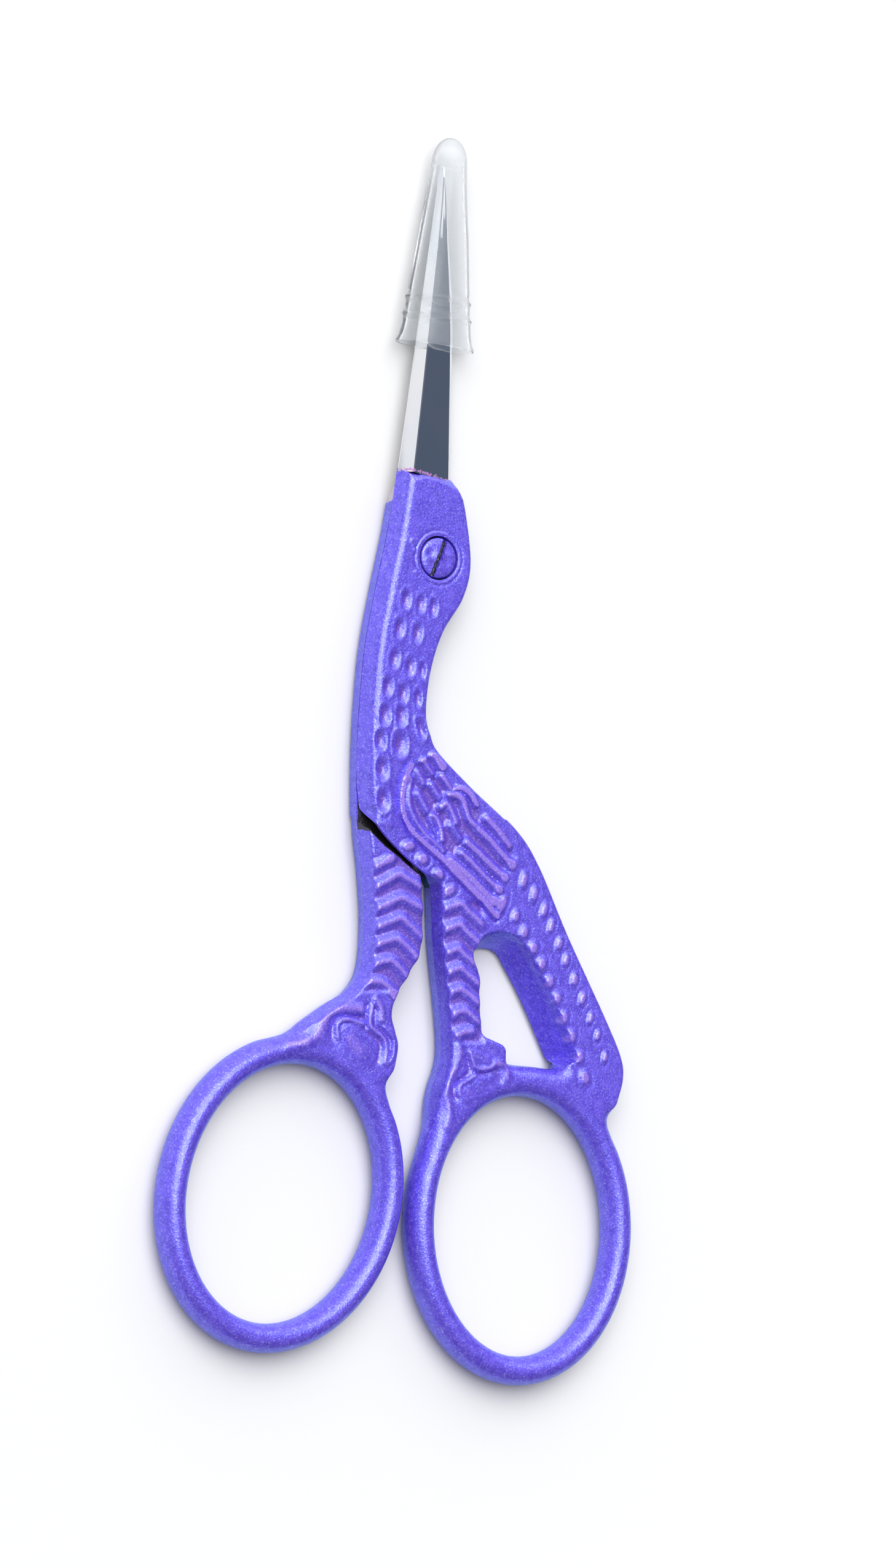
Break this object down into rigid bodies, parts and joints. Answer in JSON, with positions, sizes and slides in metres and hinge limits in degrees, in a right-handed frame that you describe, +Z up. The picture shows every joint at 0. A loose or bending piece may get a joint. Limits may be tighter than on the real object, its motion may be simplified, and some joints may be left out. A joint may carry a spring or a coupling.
{
  "type": "embroidery scissors",
  "caption": "Stork-shaped embroidery scissors with straight tapered blades, coated cast handles, a slotted pivot screw and a clear pull-off tip guard.",
  "frame": {"origin": "on the pivot axis, in the plane the scissors lie on (the screw's end face)", "axes": "+Y towards the blade tips, +Z up out of the table through the front half, +X towards the front half's tail side; closed"},
  "size_m": [0.0512, 0.1181, 0.004],
  "materials": {
    "front_coating": "pearlescent violet-blue coating, satin with fine glitter",
    "front_steel": "bare polished steel",
    "back_coating": "pearlescent violet-blue coating, satin with fine glitter",
    "back_steel": "bare polished steel",
    "screw_coating": "coated steel, worn in the slot",
    "clear_soft_plastic": "clear soft vinyl"
  },
  "bodies": {
    "front_half": {"front_handle": "front_coating", "front_blade": "front_steel"},
    "back_half": {"back_handle": "back_coating", "back_blade": "back_steel", "pivot_screw": "screw_coating"},
    "guard": {"tip_guard": "clear_soft_plastic"}
  },
  "joints": [
    {"name": "blade_open", "type": "hinge", "parent": "front_half", "child": "back_half", "pos_m": [0, 0, 0.002], "axis": [0, 0, -1], "range_deg": [0, 70]},
    {"name": "guard_pull", "type": "slide", "parent": "front_half", "child": "guard", "axis": [0.0924, 0.9957, 0], "range_m": [0, 0.03], "deforming": ["tip_guard"]}
  ],
  "couplings": [
    {"joint": "guard_pull", "follows": "blade_open", "m_per_rad": 0.0245}
  ]
}
